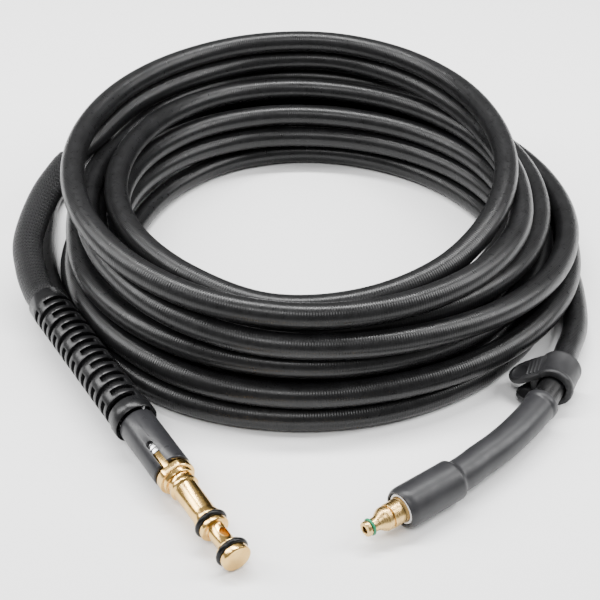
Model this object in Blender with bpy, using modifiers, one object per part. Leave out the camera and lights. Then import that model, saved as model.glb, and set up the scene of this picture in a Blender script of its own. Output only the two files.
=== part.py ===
"""Pressure washer hose, lying in a loose leaning coil with both ends brought forward.

Metres, +Z up. The floor is z = 0 and the origin is the middle of the hose's
footprint on it. The gun fitting lies at the front left, the machine fitting
at the front right.
"""

import math

import bmesh
import bpy
from mathutils import Matrix, Vector

# Hose
HOSE_RADIUS = 0.00625
FIT_GAP = 0.0003
TUBE_POINT_SPACING = 0.018
TUBE_RESOLUTION = 4

# Coil: one bulge of the section for each layer of turns, bottom to top
LAYER_PITCH = 0.0128
LAYER_OUTER = (0.1231, 0.1325, 0.1315, 0.1176, 0.1120, 0.1190)
LAYER_INNER = (0.1140, 0.1140, 0.1140, 0.1130, 0.1110, 0.1190)
COIL_CENTRE = Vector((0.0100, 0.0310, 0.0))
COIL_LEAN = Vector((-0.20, 0.20))
COIL_STEPS = 44
BULGE_ANGLES = (45.0, 0.0, -45.0)

# Gun end: route of the hose from the coil to the bend protector. The fitting
# dips towards its tip, because the protector lies on the coil's lowest turn.
GUN_ROUTE = (
    (-0.1270, 0.0563, 0.0540),
    (-0.1382, 0.0339, 0.0450),
    (-0.1439, 0.0087, 0.0340),
    (-0.1410, -0.0080, 0.0265),
)
GUN_START = Vector((-0.1298, -0.0297, 0.0200))
GUN_HEADING = math.radians(-57.3)
GUN_DIP = math.radians(3.78)

BRAID_THICKNESS = 0.0014
BRAID_BORE = HOSE_RADIUS + FIT_GAP
BRAID_RADIUS = BRAID_BORE + BRAID_THICKNESS
BRAID_INSET = 0.088

BOOT_LENGTH = 0.1015
BOOT_RADIUS = 0.0101
BOOT_WALL = 0.0018
BOOT_EDGE = 0.0004
BOOT_CUFF_LENGTH = 0.0060
BOOT_CUFF_RADIUS = 0.0098
BOOT_COLLAR_LENGTH = 0.0055
BOOT_COLLAR_RADIUS = 0.0107
BOOT_LEAD_IN = 0.010
BOOT_STEPS = 20
SLOT_ROWS = 16
SLOT_WIDTH = 0.0028
SLOT_BRIDGE = 0.0046
SLOT_MARGIN = 0.0045
SLOT_PITCH = (BOOT_LENGTH - BOOT_CUFF_LENGTH - BOOT_COLLAR_LENGTH - 2 * SLOT_MARGIN) / (SLOT_ROWS - 1)
SLOT_ROLL = math.radians(-43.0)

BARREL_LENGTH = 0.0345
BARREL_RADIUS = 0.0089
BARREL_WALL = 0.0013
BARREL_EDGE = 0.0005
BARREL_STEPS = 24
BARREL_SLOT_LENGTH = 0.0150
BARREL_SLOT_WIDTH = 0.0034
BARREL_SLOT_ROLL = math.radians(28.0)

FERRULE_LENGTH = 0.0220
FERRULE_RADIUS = BARREL_RADIUS - BARREL_WALL - FIT_GAP
FERRULE_RIBS = 5
FERRULE_RIB_DEPTH = 0.0003
FERRULE_RIB_WIDTH = 0.0014
FERRULE_BORE = HOSE_RADIUS + FIT_GAP

# Gun nipple: sizes along its axis from the barrel's end face, then radii
NIPPLE_SHANK_LENGTH = 0.0085
NIPPLE_SHANK_RADIUS = 0.0070
NIPPLE_FLANGE_START = 0.0014
NIPPLE_FLANGE_LENGTH = 0.0038
NIPPLE_FLANGE_RADIUS = 0.0086
NIPPLE_FLAT_WIDTH = 0.0152
NIPPLE_FLAT_ROLL = math.radians(20.0)
NIPPLE_STEP_LENGTH = 0.0022
NIPPLE_STEP_RADIUS = 0.0073
NIPPLE_WAIST_LENGTH = 0.0024
NIPPLE_WAIST_RADIUS = 0.0062
NIPPLE_COLLAR_LENGTH = 0.0022
NIPPLE_COLLAR_RADIUS = 0.0067
NIPPLE_BODY_LENGTH = 0.0195
NIPPLE_BODY_RADIUS = 0.0056
NIPPLE_LAND_LENGTH = 0.0014
NIPPLE_LAND_RADIUS = 0.0063
NIPPLE_GROOVE_WIDTH = 0.0032
NIPPLE_GROOVE_RADIUS = 0.0047
NIPPLE_DISC_LENGTH = 0.0024
NIPPLE_DISC_RADIUS = 0.0066
NIPPLE_NECK_LENGTH = 0.0114
NIPPLE_NECK_RADIUS = 0.0042
NIPPLE_HOLE_RADIUS = 0.0021
NIPPLE_HOLE_STRETCH = 1.35
NIPPLE_HOLE_ROLL = math.radians(-14.0)
NIPPLE_END_LENGTH = 0.0030
NIPPLE_CHAMFER = 0.0004
GUN_RING_WIRE = 0.0013

# Machine end: route of the hose from the coil to the bend sleeve
MACHINE_ROUTE = (
    (0.1437, 0.0165, 0.0065),
    (0.1474, -0.0060, 0.0065),
    (0.1433, -0.0271, 0.0070),
    (0.1372, -0.0448, 0.0082),
    (0.1328, -0.0580, 0.0095),
    (0.1239, -0.0799, 0.0106),
    (0.1137, -0.0984, 0.0104),
    (0.1020, -0.1140, 0.0101),
    (0.0913, -0.1258, 0.0098),
    (0.0806, -0.1356, 0.0096),
    (0.0698, -0.1454, 0.0095),
)
MACHINE_NOSE = Vector((0.0426, -0.1660, 0.0095))
STRAP_PLACE = 0.0993

SLEEVE_START = 0.1205
SLEEVE_RADIUS = 0.0076
SLEEVE_LIP_RADIUS = 0.0082
SLEEVE_LIP_LENGTH = 0.0030
SLEEVE_COLLAR_RADIUS = 0.0094
SLEEVE_COLLAR_LENGTH = 0.0300
SLEEVE_STEP_LENGTH = 0.0030
SLEEVE_NOSE_LENGTH = 0.0040
SLEEVE_NOSE_RADIUS = 0.0082
SLEEVE_SHOULDER_RADIUS = 0.0090
SLEEVE_SHOULDER_LENGTH = 0.0014

MOUTH_RING_RADIUS = 0.0070
MOUTH_RING_LENGTH = 0.0040
MOUTH_RING_RECESS = 0.0006
MOUTH_BORE = MOUTH_RING_RADIUS + FIT_GAP

# Quick plug: sizes along its axis from the sleeve's nose, then radii
PLUG_SHANK_LENGTH = 0.0120
PLUG_BODY_RADIUS = 0.0056
PLUG_BODY_LENGTH = 0.0062
PLUG_GROOVE_RADIUS = 0.0048
PLUG_GROOVE_LENGTH = 0.0010
PLUG_RIDGE_RADIUS = 0.0054
PLUG_RIDGE_LENGTH = 0.0014
PLUG_TAPER_LENGTH = 0.0050
PLUG_NECK_RADIUS = 0.0031
PLUG_NECK_LENGTH = 0.0018
PLUG_SEAT_RADIUS = 0.0025
PLUG_SEAT_LENGTH = 0.0018
PLUG_TIP_RADIUS = 0.0034
PLUG_TIP_LENGTH = 0.0022
PLUG_TIP_CHAMFER = 0.0006
PLUG_BORE_RADIUS = 0.0017
PLUG_RING_WIRE = 0.00055

# Tie strap: a band with two leaves, whose heights are above the hose's middle
STRAP_BORE = HOSE_RADIUS + 2 * FIT_GAP
STRAP_THICKNESS = 0.0032
STRAP_WIDTH = 0.0180
STRAP_EDGE = 0.0011
LEAF_THICKNESS = 0.0026
LEAF_WIDTH = 0.0140
LEAF_ROOT_WIDTH = 0.0070
LEAF_ROOT_DEPTH = 0.0013
UPPER_LEAF_LENGTH = 0.0175
UPPER_LEAF_LIFT = 0.0035
UPPER_LEAF_SLOPE = math.radians(25.0)
UPPER_LEAF_SWEEP = math.radians(24.0)
LOWER_LEAF_LENGTH = 0.0140
LOWER_LEAF_LIFT = -0.0045
LOWER_LEAF_SLOPE = math.radians(10.0)
LOWER_LEAF_SWEEP = math.radians(46.0)

TURNED_STEPS = 20
ROUND_END_STEPS = 8
CURVE_STEPS = 24
MERGE_DISTANCE = 0.00001
SHARP_ANGLE = math.radians(35.0)


def clear_scene():
    for old in list(bpy.data.objects):
        bpy.data.objects.remove(old, do_unlink=True)


def collection(name):
    group = bpy.data.collections.new(name)
    bpy.context.scene.collection.children.link(group)
    return group


def material(name, colour, roughness, metallic=0.0):
    mat = bpy.data.materials.new(name)
    mat.use_nodes = True
    shader = mat.node_tree.nodes["Principled BSDF"]
    shader.inputs["Base Color"].default_value = (*colour, 1.0)
    shader.inputs["Roughness"].default_value = roughness
    shader.inputs["Metallic"].default_value = metallic
    return mat


def add_object(name, data, group, mat=None, parent=None):
    thing = bpy.data.objects.new(name, data)
    group.objects.link(thing)
    if mat:
        data.materials.append(mat)
    thing.parent = parent
    return thing


def axis_empty(name, group, place, heading, dip=0.0):
    """An empty whose Z axis points along the heading, and dips below the level."""
    empty = bpy.data.objects.new(name, None)
    group.objects.link(empty)
    empty.location = place
    empty.rotation_euler = (0.0, math.pi / 2 + dip, heading)
    return empty


def shade(mesh):
    mesh.shade_smooth()
    mesh.set_sharp_from_angle(angle=SHARP_ANGLE)


def turned(name, profile, group, mat, parent=None, steps=TURNED_STEPS):
    """A profile of (radius, height) points, turned about Z.

    The profile is closed, unless it starts on the axis and then ends on it.
    """
    mesh = bpy.data.meshes.new(name)
    points = [(radius, 0.0, height) for radius, height in profile]
    edges = [(i, i + 1) for i in range(len(points) - 1)]
    if profile[0][0] > 0.0:
        edges.append((len(points) - 1, 0))
    mesh.from_pydata(points, edges, [])
    thing = add_object(name, mesh, group, mat, parent)
    screw = thing.modifiers.new("Turn", "SCREW")
    screw.steps = steps
    screw.render_steps = steps
    screw.use_merge_vertices = True
    screw.merge_threshold = MERGE_DISTANCE
    return thing


def ring_section(major, minor, height=0.0, count=8):
    """Points round a torus section, down its outer side first."""
    angles = [math.pi / 2 - 2 * math.pi * i / count for i in range(count)]
    return [(major + minor * math.cos(a), height + minor * math.sin(a)) for a in angles]


def as_mesh_object(thing):
    """The evaluated object as a plain mesh object; the first one is removed."""
    bpy.context.view_layer.update()
    graph = bpy.context.evaluated_depsgraph_get()
    mesh = bpy.data.meshes.new_from_object(thing.evaluated_get(graph))
    shape = bmesh.new()
    shape.from_mesh(mesh)
    bmesh.ops.remove_doubles(shape, verts=shape.verts, dist=MERGE_DISTANCE)
    shape.to_mesh(mesh)
    shape.free()
    name = thing.name
    solid = bpy.data.objects.new(name + " mesh", mesh)
    thing.users_collection[0].objects.link(solid)
    solid.matrix_world = thing.matrix_world.copy()
    bpy.data.objects.remove(thing, do_unlink=True)
    solid.name = name
    shade(mesh)
    return solid


def cutter(thing):
    thing.hide_render = True
    thing.display_type = "WIRE"
    return thing


def boolean(target, other, operation="DIFFERENCE"):
    cut = target.modifiers.new(operation.title(), "BOOLEAN")
    cut.operation = operation
    cut.solver = "EXACT"
    cut.object = other


def smooth_points(points, spacing):
    """Points at about the spacing along a smooth curve through the given ones."""
    knots = [Vector(p) for p in points]
    first = knots[0] * 2 - knots[1]
    last = knots[-1] * 2 - knots[-2]
    chain = [first, *knots, last]
    dense = []
    for i in range(1, len(chain) - 2):
        a, b, c, d = chain[i - 1 : i + 3]
        for step in range(CURVE_STEPS):
            t = step / CURVE_STEPS
            dense.append(
                0.5
                * (
                    2 * b
                    + (c - a) * t
                    + (2 * a - 5 * b + 4 * c - d) * t**2
                    + (3 * b - a - 3 * c + d) * t**3
                )
            )
    dense.append(knots[-1])
    lengths = distances(dense)
    count = max(2, round(lengths[-1] / spacing))
    return [point_at(dense, lengths, lengths[-1] * i / count) for i in range(count + 1)]


def point_at(dense, lengths, distance):
    """The point of a dense line at a distance along it."""
    for i in range(1, len(dense)):
        if lengths[i] >= distance:
            span = lengths[i] - lengths[i - 1]
            share = (distance - lengths[i - 1]) / span if span else 0.0
            return dense[i - 1].lerp(dense[i], max(0.0, min(1.0, share)))
    return dense[-1].copy()


def distances(points):
    """The distance of each point along its line."""
    lengths = [0.0]
    for a, b in zip(points, points[1:]):
        lengths.append(lengths[-1] + (b - a).length)
    return lengths


def tube(name, points, radius, group, mat=None, radii=None):
    curve = bpy.data.curves.new(name, "CURVE")
    curve.dimensions = "3D"
    curve.bevel_depth = radius
    curve.bevel_resolution = TUBE_RESOLUTION
    curve.use_fill_caps = True
    spline = curve.splines.new("POLY")
    spline.points.add(len(points) - 1)
    for i, point in enumerate(points):
        spline.points[i].co = (*point, 1.0)
        spline.points[i].radius = radii[i] / radius if radii else 1.0
    return add_object(name, curve, group, mat)


def gun_point(distance):
    """A point on the gun fitting's axis, measured from the protector's start."""
    level = Vector((math.cos(GUN_HEADING), math.sin(GUN_HEADING), 0.0)) * math.cos(GUN_DIP)
    return GUN_START + (level - Vector((0.0, 0.0, math.sin(GUN_DIP)))) * distance


def gun_points(inset):
    """The hose's line at the gun end, ending this far inside the fitting."""
    knots = [*GUN_ROUTE, gun_point(-BOOT_LEAD_IN), gun_point(0.0)]
    bend = smooth_points(knots, TUBE_POINT_SPACING)
    count = round(inset / TUBE_POINT_SPACING / 2)
    return bend + [gun_point(inset * (i + 1) / count) for i in range(count)]


def coil_profile():
    """The coil's section: a column of turns outside and one inside."""
    levels = range(len(LAYER_OUTER))
    heights = [HOSE_RADIUS + LAYER_PITCH * i for i in levels]
    outside = [(LAYER_OUTER[-1], heights[-1] + HOSE_RADIUS)]
    for level in reversed(levels):
        for angle in map(math.radians, BULGE_ANGLES):
            out = LAYER_OUTER[level] + HOSE_RADIUS * math.cos(angle)
            outside.append((out, heights[level] + HOSE_RADIUS * math.sin(angle)))
    outside.append((LAYER_OUTER[0], 0.0))
    inside = [(LAYER_INNER[0], 0.0)]
    for level in levels:
        for angle in map(math.radians, reversed(BULGE_ANGLES)):
            out = LAYER_INNER[level] - HOSE_RADIUS * math.cos(angle)
            inside.append((out, heights[level] + HOSE_RADIUS * math.sin(angle)))
    return outside + inside


def hose_coil(group, rubber):
    coil = turned("hose_coil", coil_profile(), group, rubber, steps=COIL_STEPS)
    coil = as_mesh_object(coil)
    lean = Matrix.Identity(4)
    lean[0][2] = COIL_LEAN.x
    lean[1][2] = COIL_LEAN.y
    coil.data.transform(lean)
    coil.location = COIL_CENTRE
    return coil


def gun_lead(group, rubber, inset):
    points = gun_points(inset)
    return tube("hose_lead_gun_end", points, HOSE_RADIUS, group, rubber)


def braided_sleeve(group, weave, cutters):
    points = gun_points(BRAID_INSET)
    sleeve = as_mesh_object(tube("braided_sleeve", points, BRAID_RADIUS, group, weave))
    ahead = points[0] + (points[0] - points[1])
    behind = points[-1] + (points[-1] - points[-2])
    hollow = tube("braided_sleeve_bore", [ahead, *points, behind], BRAID_BORE, cutters)
    boolean(sleeve, cutter(as_mesh_object(hollow)))
    return sleeve


def bend_protector(group, plastic, cutters, axis):
    inner = BOOT_RADIUS - BOOT_WALL
    neck = BOOT_LENGTH - BOOT_COLLAR_LENGTH
    profile = [
        (BOOT_COLLAR_RADIUS, BOOT_LENGTH),
        (BOOT_COLLAR_RADIUS, neck),
        (BOOT_RADIUS, neck - BOOT_EDGE),
        (BOOT_RADIUS, BOOT_CUFF_LENGTH),
        (BOOT_CUFF_RADIUS, BOOT_CUFF_LENGTH - BOOT_EDGE),
        (BOOT_CUFF_RADIUS, BOOT_EDGE),
        (BOOT_CUFF_RADIUS - BOOT_EDGE, 0.0),
        (inner, 0.0),
        (inner, BOOT_LENGTH),
    ]
    boot = turned("bend_protector", profile, group, plastic, axis, BOOT_STEPS)
    slots = slot_cutters(cutters, axis)
    boolean(boot, slots)
    return boot


def slot_cutters(cutters, axis):
    """Two slots in each row, every second row turned by a quarter."""
    reach = BOOT_RADIUS + BOOT_WALL
    depth = reach - SLOT_BRIDGE / 2
    shape = bmesh.new()
    for row in range(SLOT_ROWS):
        turn = Matrix.Rotation(SLOT_ROLL + row % 2 * math.pi / 2, 4, "Z")
        height = BOOT_CUFF_LENGTH + SLOT_MARGIN + row * SLOT_PITCH
        for side in (-1, 1):
            place = Matrix.Translation((side * (reach + SLOT_BRIDGE / 2) / 2, 0.0, height))
            size = Matrix.Diagonal((depth, reach * 2, SLOT_WIDTH, 1.0))
            bmesh.ops.create_cube(shape, size=1.0, matrix=turn @ place @ size)
    mesh = bpy.data.meshes.new("bend_protector_slots")
    shape.to_mesh(mesh)
    shape.free()
    return cutter(add_object("bend_protector_slots", mesh, cutters, None, axis))


def connector_barrel(group, plastic, cutters, axis):
    start = BOOT_LENGTH + FIT_GAP
    end = start + BARREL_LENGTH
    inner = BARREL_RADIUS - BARREL_WALL
    profile = [
        (inner, end),
        (BARREL_RADIUS - BARREL_EDGE, end),
        (BARREL_RADIUS, end - BARREL_EDGE),
        (BARREL_RADIUS, start + BARREL_EDGE),
        (BARREL_RADIUS - BARREL_EDGE, start),
        (inner, start),
    ]
    barrel = turned("connector_barrel", profile, group, plastic, axis, BARREL_STEPS)
    boolean(barrel, barrel_slot(cutters, axis, end))
    return barrel


def barrel_slot(cutters, axis, end):
    """A round-ended slot, open at the barrel's end face."""
    overrun = BARREL_SLOT_WIDTH
    length = BARREL_SLOT_LENGTH + overrun
    width = BARREL_SLOT_WIDTH
    slot = as_mesh_object(blade("barrel_slot", length, width, width, BARREL_RADIUS, cutters))
    turn = Matrix.Rotation(BARREL_SLOT_ROLL, 4, "Z")
    place = Matrix.Translation((-BARREL_RADIUS, 0.0, end + overrun))
    slot.data.transform(turn @ place @ Matrix.Rotation(math.pi / 2, 4, "Y"))
    slot.parent = axis
    return cutter(slot)


def blade(name, length, root_width, width, thickness, group):
    """A flat outline along X from the origin, with a round far end."""
    curve = bpy.data.curves.new(name, "CURVE")
    curve.dimensions = "2D"
    curve.fill_mode = "BOTH"
    curve.extrude = thickness / 2
    outline = [(0.0, -root_width / 2)]
    for i in range(ROUND_END_STEPS + 1):
        angle = math.pi * (i / ROUND_END_STEPS - 0.5)
        across = width / 2 * math.sin(angle)
        outline.append((length - width / 2 * (1.0 - math.cos(angle)), across))
    outline.append((0.0, root_width / 2))
    spline = curve.splines.new("POLY")
    spline.points.add(len(outline) - 1)
    for i, (x, y) in enumerate(outline):
        spline.points[i].co = (x, y, 0.0, 1.0)
    spline.use_cyclic_u = True
    return add_object(name, curve, group)


def crimp_ferrule(group, steel, axis):
    end = BOOT_LENGTH + FIT_GAP + BARREL_LENGTH - NIPPLE_SHANK_LENGTH - FIT_GAP
    start = end - FERRULE_LENGTH
    outside = [(FERRULE_RADIUS, end)]
    pitch = FERRULE_LENGTH / (FERRULE_RIBS + 1)
    for rib in range(FERRULE_RIBS):
        height = end - pitch * (rib + 1)
        outside.append((FERRULE_RADIUS, height + FERRULE_RIB_WIDTH / 2))
        outside.append((FERRULE_RADIUS - FERRULE_RIB_DEPTH, height))
        outside.append((FERRULE_RADIUS, height - FERRULE_RIB_WIDTH / 2))
    profile = [*outside, (FERRULE_RADIUS, start), (FERRULE_BORE, start), (FERRULE_BORE, end)]
    return turned("crimp_ferrule", profile, group, steel, axis)


def nipple_stations():
    """Where each stretch of the gun nipple begins, along the fitting's axis."""
    lengths = (
        ("flange", NIPPLE_FLANGE_LENGTH),
        ("step", NIPPLE_STEP_LENGTH),
        ("waist", NIPPLE_WAIST_LENGTH),
        ("collar", NIPPLE_COLLAR_LENGTH),
        ("body", NIPPLE_BODY_LENGTH),
        ("land", NIPPLE_LAND_LENGTH),
        ("rear groove", NIPPLE_GROOVE_WIDTH),
        ("disc", NIPPLE_DISC_LENGTH),
        ("neck", NIPPLE_NECK_LENGTH),
        ("front land", NIPPLE_LAND_LENGTH / 2),
        ("front groove", NIPPLE_GROOVE_WIDTH),
        ("end", NIPPLE_END_LENGTH),
        ("tip", 0.0),
    )
    place = BOOT_LENGTH + FIT_GAP + BARREL_LENGTH + NIPPLE_FLANGE_START
    stations = {}
    for name, length in lengths:
        stations[name] = place
        place += length
    return stations


def gun_nipple(group, brass, cutters, axis):
    at = nipple_stations()
    radii = (
        ("flange", "step", NIPPLE_FLANGE_RADIUS),
        ("step", "waist", NIPPLE_STEP_RADIUS),
        ("waist", "collar", NIPPLE_WAIST_RADIUS),
        ("collar", "body", NIPPLE_COLLAR_RADIUS),
        ("body", "land", NIPPLE_BODY_RADIUS),
        ("land", "rear groove", NIPPLE_LAND_RADIUS),
        ("rear groove", "disc", NIPPLE_GROOVE_RADIUS),
        ("disc", "neck", NIPPLE_DISC_RADIUS),
        ("neck", "front land", NIPPLE_NECK_RADIUS),
        ("front land", "front groove", NIPPLE_LAND_RADIUS),
        ("front groove", "end", NIPPLE_GROOVE_RADIUS),
        ("end", "tip", NIPPLE_DISC_RADIUS),
    )
    outside = [(0.0, at["tip"]), (NIPPLE_DISC_RADIUS - NIPPLE_CHAMFER, at["tip"])]
    for first, last, radius in reversed(radii):
        top = at[last] - (NIPPLE_CHAMFER if last == "tip" else 0.0)
        outside.append((radius, top))
        outside.append((radius, at[first]))
    mouth = BOOT_LENGTH + FIT_GAP + BARREL_LENGTH
    inside = mouth - NIPPLE_SHANK_LENGTH
    outside.append((NIPPLE_SHANK_RADIUS, at["flange"]))
    outside.append((NIPPLE_SHANK_RADIUS, inside))
    outside.append((0.0, inside))
    nipple = turned("gun_nipple", outside, group, brass, axis)
    boolean(nipple, nipple_hole(cutters, axis, (at["neck"] + at["front land"]) / 2))
    boolean(nipple, nipple_flats(cutters, axis, at))
    return nipple


def nipple_hole(cutters, axis, height):
    shape = bmesh.new()
    turn = Matrix.Rotation(NIPPLE_HOLE_ROLL, 4, "Z")
    stretch = Matrix.Diagonal((1.0, 1.0, NIPPLE_HOLE_STRETCH, 1.0))
    across = Matrix.Rotation(math.pi / 2, 4, "Y")
    bmesh.ops.create_cone(
        shape,
        cap_ends=True,
        segments=16,
        radius1=NIPPLE_HOLE_RADIUS,
        radius2=NIPPLE_HOLE_RADIUS,
        depth=NIPPLE_NECK_RADIUS * 3,
        matrix=Matrix.Translation((0.0, 0.0, height)) @ turn @ stretch @ across,
    )
    mesh = bpy.data.meshes.new("gun_nipple_hole")
    shape.to_mesh(mesh)
    shape.free()
    return cutter(add_object("gun_nipple_hole", mesh, cutters, None, axis))


def nipple_flats(cutters, axis, at):
    """Two blocks that leave the flange its two flats."""
    shape = bmesh.new()
    reach = NIPPLE_FLANGE_RADIUS * 2
    middle = (at["flange"] + at["step"]) / 2
    turn = Matrix.Rotation(NIPPLE_FLAT_ROLL, 4, "Z")
    tall = NIPPLE_FLANGE_LENGTH + NIPPLE_CHAMFER
    for side in (-1, 1):
        place = Matrix.Translation((side * (NIPPLE_FLAT_WIDTH + reach) / 2, 0.0, middle))
        size = Matrix.Diagonal((reach, reach * 2, tall, 1.0))
        bmesh.ops.create_cube(shape, size=1.0, matrix=turn @ place @ size)
    mesh = bpy.data.meshes.new("gun_nipple_flats")
    shape.to_mesh(mesh)
    shape.free()
    return cutter(add_object("gun_nipple_flats", mesh, cutters, None, axis))


def gun_rings(group, rubber, axis):
    at = nipple_stations()
    for name, groove in (("nipple_ring_rear", "rear groove"), ("nipple_ring_front", "front groove")):
        height = at[groove] + NIPPLE_GROOVE_WIDTH / 2
        major = NIPPLE_GROOVE_RADIUS + FIT_GAP + GUN_RING_WIRE
        section = ring_section(major, GUN_RING_WIRE, height)
        turned(name, section, group, rubber, axis, BARREL_STEPS)


def machine_line():
    """The hose's line at the machine end, from the coil to the sleeve's nose."""
    return smooth_points([*MACHINE_ROUTE, MACHINE_NOSE], TUBE_POINT_SPACING)


def machine_heading():
    line = machine_line()
    way = line[-1] - line[-2]
    return math.atan2(way.y, way.x)


def stretch(line, start, end):
    """The part of a line between two distances along it, with its own points."""
    lengths = distances(line)
    inner = [p for p, length in zip(line, lengths) if start < length < end]
    return [point_at(line, lengths, start), *inner, point_at(line, lengths, end)]


def machine_lead(group, rubber):
    line = machine_line()
    end = distances(line)[-1] - PLUG_SHANK_LENGTH - FIT_GAP
    return tube("hose_lead_machine_end", stretch(line, 0.0, end), HOSE_RADIUS, group, rubber)


def sleeve_marks(whole):
    """Distances along the hose with the sleeve's radius at each."""
    collar = whole - SLEEVE_COLLAR_LENGTH
    nose = whole - SLEEVE_NOSE_LENGTH
    first = SLEEVE_START + SLEEVE_LIP_LENGTH + SLEEVE_SHOULDER_LENGTH
    last = collar - SLEEVE_STEP_LENGTH
    count = round((last - first) / TUBE_POINT_SPACING * 2)
    bend = [(first + (last - first) * i / count, SLEEVE_RADIUS) for i in range(count + 1)]
    return [
        (SLEEVE_START, SLEEVE_LIP_RADIUS),
        (SLEEVE_START + SLEEVE_LIP_LENGTH, SLEEVE_LIP_RADIUS),
        *bend,
        (collar, SLEEVE_COLLAR_RADIUS),
        ((collar + nose) / 2, SLEEVE_COLLAR_RADIUS),
        (nose, SLEEVE_COLLAR_RADIUS),
        (whole - SLEEVE_SHOULDER_LENGTH, SLEEVE_SHOULDER_RADIUS),
        (whole, SLEEVE_NOSE_RADIUS),
    ]


def machine_end_sleeve(group, soft, cutters, axis):
    line = machine_line()
    lengths = distances(line)
    marks = sleeve_marks(lengths[-1])
    points = [point_at(line, lengths, spot) for spot, _ in marks]
    radii = [radius for _, radius in marks]
    sleeve = as_mesh_object(tube("machine_end_sleeve", points, SLEEVE_RADIUS, group, soft, radii))
    beyond = line[-1] + (line[-1] - line[-2]).normalized() * MOUTH_RING_LENGTH
    path = [*stretch(line, SLEEVE_START - SLEEVE_LIP_LENGTH, lengths[-1]), beyond]
    bore = tube("machine_end_sleeve_bore", path, HOSE_RADIUS + FIT_GAP, cutters)
    boolean(sleeve, cutter(as_mesh_object(bore)))
    boolean(sleeve, mouth_cutter(cutters, axis))
    return sleeve


def mouth_cutter(cutters, axis):
    """The wider bore at the sleeve's nose that holds the mouth ring."""
    depth = MOUTH_RING_LENGTH + MOUTH_RING_RECESS + FIT_GAP
    shape = bmesh.new()
    bmesh.ops.create_cone(
        shape,
        cap_ends=True,
        segments=BARREL_STEPS,
        radius1=MOUTH_BORE,
        radius2=MOUTH_BORE,
        depth=depth * 2,
    )
    mesh = bpy.data.meshes.new("mouth_bore")
    shape.to_mesh(mesh)
    shape.free()
    return cutter(add_object("mouth_bore", mesh, cutters, None, axis))


def mouth_ring(group, white, axis):
    top = -MOUTH_RING_RECESS
    low = top - MOUTH_RING_LENGTH
    bore = PLUG_BODY_RADIUS + FIT_GAP
    profile = [
        (MOUTH_RING_RADIUS, top),
        (MOUTH_RING_RADIUS, low),
        (bore, low),
        (bore, top),
    ]
    return turned("mouth_ring", profile, group, white, axis, BARREL_STEPS)


def quick_plug(group, brass, axis):
    body = PLUG_BODY_LENGTH
    ridge = body + PLUG_GROOVE_LENGTH
    taper = ridge + PLUG_RIDGE_LENGTH
    neck = taper + PLUG_TAPER_LENGTH
    seat = neck + PLUG_NECK_LENGTH
    tip = seat + PLUG_SEAT_LENGTH
    end = tip + PLUG_TIP_LENGTH
    profile = [
        (PLUG_BORE_RADIUS, end),
        (PLUG_TIP_RADIUS - PLUG_TIP_CHAMFER, end),
        (PLUG_TIP_RADIUS, end - PLUG_TIP_CHAMFER),
        (PLUG_TIP_RADIUS, tip),
        (PLUG_SEAT_RADIUS, tip),
        (PLUG_SEAT_RADIUS, seat),
        (PLUG_NECK_RADIUS, seat),
        (PLUG_NECK_RADIUS, neck),
    ]
    drop = (PLUG_RIDGE_RADIUS - PLUG_NECK_RADIUS) / 2
    for share in (0.75, 0.5, 0.25, 0.0):
        radius = PLUG_NECK_RADIUS + drop * (1.0 + math.cos(math.pi * share))
        profile.append((radius, taper + PLUG_TAPER_LENGTH * share))
    profile += [
        (PLUG_RIDGE_RADIUS, ridge),
        (PLUG_GROOVE_RADIUS, ridge),
        (PLUG_GROOVE_RADIUS, body),
        (PLUG_BODY_RADIUS, body),
        (PLUG_BODY_RADIUS, -PLUG_SHANK_LENGTH),
        (PLUG_BORE_RADIUS, -PLUG_SHANK_LENGTH),
    ]
    turned("quick_plug", profile, group, brass, axis)
    return (seat + tip) / 2


def plug_ring(group, green, axis, height):
    major = PLUG_SEAT_RADIUS + FIT_GAP + PLUG_RING_WIRE
    turned("plug_ring", ring_section(major, PLUG_RING_WIRE, height), group, green, axis)


def tie_strap(group, rubber, cutters):
    """A band round the hose with two leaves that spring it open."""
    place, *_, ahead = stretch(machine_line(), STRAP_PLACE, STRAP_PLACE + FIT_GAP)
    way = ahead - place
    heading = math.atan2(way.y, way.x)
    axis = axis_empty("strap_axis", group, place, heading)
    outer = STRAP_BORE + STRAP_THICKNESS
    half = STRAP_WIDTH / 2
    edge = STRAP_EDGE
    profile = [
        (outer - edge, half),
        (outer, half - edge),
        (outer, edge - half),
        (outer - edge, -half),
        (STRAP_BORE + edge, -half),
        (STRAP_BORE, edge - half),
        (STRAP_BORE, half - edge),
        (STRAP_BORE + edge, half),
    ]
    strap = turned("tie_strap", profile, group, rubber, axis, BARREL_STEPS)
    upper = (UPPER_LEAF_LENGTH, UPPER_LEAF_LIFT, UPPER_LEAF_SLOPE, UPPER_LEAF_SWEEP)
    lower = (LOWER_LEAF_LENGTH, LOWER_LEAF_LIFT, LOWER_LEAF_SLOPE, LOWER_LEAF_SWEEP)
    boolean(strap, leaf("strap_upper_leaf", *upper, cutters, axis), "UNION")
    boolean(strap, leaf("strap_lower_leaf", *lower, cutters, axis), "UNION")
    return strap


def leaf(name, length, lift, slope, sweep, cutters, axis):
    """A flat round-ended leaf that leaves the band beside the hose."""
    outline = blade(name, length, LEAF_ROOT_WIDTH, LEAF_WIDTH, LEAF_THICKNESS, cutters)
    flap = as_mesh_object(outline)
    swing = Matrix.Rotation(sweep, 4, "Z")
    stand = Matrix.Rotation(math.pi / 2, 4, "X")
    tilt = Matrix.Rotation(slope, 4, "Z")
    root = Matrix.Translation((STRAP_BORE + LEAF_ROOT_DEPTH, -lift, 0.0))
    turn = Matrix.Rotation(-math.pi / 2, 4, "Z")
    flap.data.transform(turn @ root @ tilt @ stand @ swing)
    flap.parent = axis
    return cutter(flap)


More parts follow.
